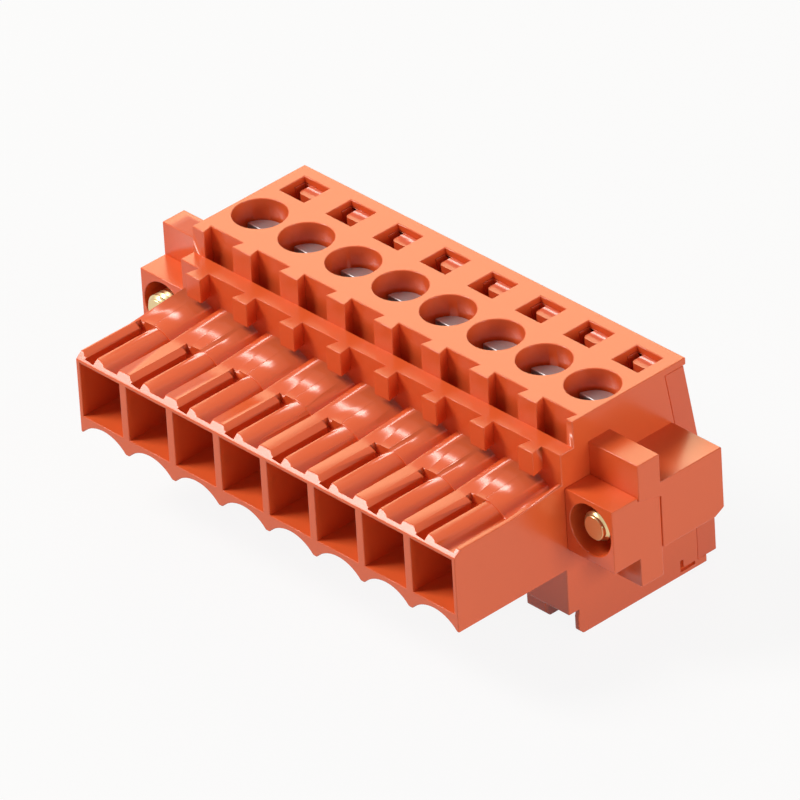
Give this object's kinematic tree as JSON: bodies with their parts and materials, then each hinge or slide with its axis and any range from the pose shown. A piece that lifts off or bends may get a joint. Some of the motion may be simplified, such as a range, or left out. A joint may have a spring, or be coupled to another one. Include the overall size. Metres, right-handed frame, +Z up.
{
  "type": "pluggable terminal block",
  "caption": "Pluggable screw terminal block with a chambered mating nose, stepped comb ledge, clamp screws from above, wire funnels behind and captive flange screws.",
  "frame": {"origin": "middle of the footprint, on the plane of the foot rails' undersides", "axes": "+X along the row of poles, +Y from the mating face to the wire side, +Z up, the way the clamp screws face"},
  "size_m": [0.0508, 0.0262, 0.0185],
  "materials": {
    "housing_plastic": "satin moulded orange-red",
    "cover_plastic": "satin moulded orange-red",
    "retainer_plastic": "satin moulded orange-red",
    "flange_screw_brass": "bright, pale gold",
    "clamp_screw_steel": "zinc plated",
    "yoke_steel": "zinc plated",
    "contact_tin": "tin plated"
  },
  "bodies": {
    "base": {"housing": "housing_plastic", "rear_cover": "cover_plastic", "retainer_left": "retainer_plastic", "retainer_right": "retainer_plastic", "contact_1": "contact_tin", "contact_2": "contact_tin", "contact_3": "contact_tin", "contact_4": "contact_tin", "contact_5": "contact_tin", "contact_6": "contact_tin", "contact_7": "contact_tin", "contact_8": "contact_tin"},
    "flange_screw_left": {"flange_screw_left": "flange_screw_brass"},
    "flange_screw_right": {"flange_screw_right": "flange_screw_brass"},
    "clamp_screw_1": {"clamp_screw_1": "clamp_screw_steel"},
    "clamp_yoke_1": {"clamp_yoke_1": "yoke_steel"},
    "clamp_screw_2": {"clamp_screw_2": "clamp_screw_steel"},
    "clamp_yoke_2": {"clamp_yoke_2": "yoke_steel"},
    "clamp_screw_3": {"clamp_screw_3": "clamp_screw_steel"},
    "clamp_yoke_3": {"clamp_yoke_3": "yoke_steel"},
    "clamp_screw_4": {"clamp_screw_4": "clamp_screw_steel"},
    "clamp_yoke_4": {"clamp_yoke_4": "yoke_steel"},
    "clamp_screw_5": {"clamp_screw_5": "clamp_screw_steel"},
    "clamp_yoke_5": {"clamp_yoke_5": "yoke_steel"},
    "clamp_screw_6": {"clamp_screw_6": "clamp_screw_steel"},
    "clamp_yoke_6": {"clamp_yoke_6": "yoke_steel"},
    "clamp_screw_7": {"clamp_screw_7": "clamp_screw_steel"},
    "clamp_yoke_7": {"clamp_yoke_7": "yoke_steel"},
    "clamp_screw_8": {"clamp_screw_8": "clamp_screw_steel"},
    "clamp_yoke_8": {"clamp_yoke_8": "yoke_steel"}
  },
  "joints": [
    {"name": "flange_turn_left", "type": "hinge", "parent": "base", "child": "flange_screw_left", "pos_m": [-0.02286, 0, 0.01075], "axis": [0, 1, 0], "continuous": true},
    {"name": "flange_turn_right", "type": "hinge", "parent": "base", "child": "flange_screw_right", "pos_m": [0.02286, 0, 0.01075], "axis": [0, 1, 0], "continuous": true},
    {"name": "clamp_turn_1", "type": "hinge", "parent": "base", "child": "clamp_screw_1", "pos_m": [-0.01778, 0.00385, 0.0125], "axis": [0, 0, 1], "range_deg": [-1800, 0]},
    {"name": "yoke_lift_1", "type": "slide", "parent": "base", "child": "clamp_yoke_1", "axis": [0, 0, 1], "range_m": [0, 0.0025]},
    {"name": "clamp_turn_2", "type": "hinge", "parent": "base", "child": "clamp_screw_2", "pos_m": [-0.0127, 0.00385, 0.0125], "axis": [0, 0, 1], "range_deg": [-1800, 0]},
    {"name": "yoke_lift_2", "type": "slide", "parent": "base", "child": "clamp_yoke_2", "axis": [0, 0, 1], "range_m": [0, 0.0025]},
    {"name": "clamp_turn_3", "type": "hinge", "parent": "base", "child": "clamp_screw_3", "pos_m": [-0.00762, 0.00385, 0.0125], "axis": [0, 0, 1], "range_deg": [-1800, 0]},
    {"name": "yoke_lift_3", "type": "slide", "parent": "base", "child": "clamp_yoke_3", "axis": [0, 0, 1], "range_m": [0, 0.0025]},
    {"name": "clamp_turn_4", "type": "hinge", "parent": "base", "child": "clamp_screw_4", "pos_m": [-0.00254, 0.00385, 0.0125], "axis": [0, 0, 1], "range_deg": [-1800, 0]},
    {"name": "yoke_lift_4", "type": "slide", "parent": "base", "child": "clamp_yoke_4", "axis": [0, 0, 1], "range_m": [0, 0.0025]},
    {"name": "clamp_turn_5", "type": "hinge", "parent": "base", "child": "clamp_screw_5", "pos_m": [0.00254, 0.00385, 0.0125], "axis": [0, 0, 1], "range_deg": [-1800, 0]},
    {"name": "yoke_lift_5", "type": "slide", "parent": "base", "child": "clamp_yoke_5", "axis": [0, 0, 1], "range_m": [0, 0.0025]},
    {"name": "clamp_turn_6", "type": "hinge", "parent": "base", "child": "clamp_screw_6", "pos_m": [0.00762, 0.00385, 0.0125], "axis": [0, 0, 1], "range_deg": [-1800, 0]},
    {"name": "yoke_lift_6", "type": "slide", "parent": "base", "child": "clamp_yoke_6", "axis": [0, 0, 1], "range_m": [0, 0.0025]},
    {"name": "clamp_turn_7", "type": "hinge", "parent": "base", "child": "clamp_screw_7", "pos_m": [0.0127, 0.00385, 0.0125], "axis": [0, 0, 1], "range_deg": [-1800, 0]},
    {"name": "yoke_lift_7", "type": "slide", "parent": "base", "child": "clamp_yoke_7", "axis": [0, 0, 1], "range_m": [0, 0.0025]},
    {"name": "clamp_turn_8", "type": "hinge", "parent": "base", "child": "clamp_screw_8", "pos_m": [0.01778, 0.00385, 0.0125], "axis": [0, 0, 1], "range_deg": [-1800, 0]},
    {"name": "yoke_lift_8", "type": "slide", "parent": "base", "child": "clamp_yoke_8", "axis": [0, 0, 1], "range_m": [0, 0.0025]}
  ],
  "couplings": [
    {"joint": "clamp_turn_1", "follows": "yoke_lift_1", "rad_per_m": -12566},
    {"joint": "clamp_turn_2", "follows": "yoke_lift_2", "rad_per_m": -12566},
    {"joint": "clamp_turn_3", "follows": "yoke_lift_3", "rad_per_m": -12566},
    {"joint": "clamp_turn_4", "follows": "yoke_lift_4", "rad_per_m": -12566},
    {"joint": "clamp_turn_5", "follows": "yoke_lift_5", "rad_per_m": -12566},
    {"joint": "clamp_turn_6", "follows": "yoke_lift_6", "rad_per_m": -12566},
    {"joint": "clamp_turn_7", "follows": "yoke_lift_7", "rad_per_m": -12566},
    {"joint": "clamp_turn_8", "follows": "yoke_lift_8", "rad_per_m": -12566}
  ]
}
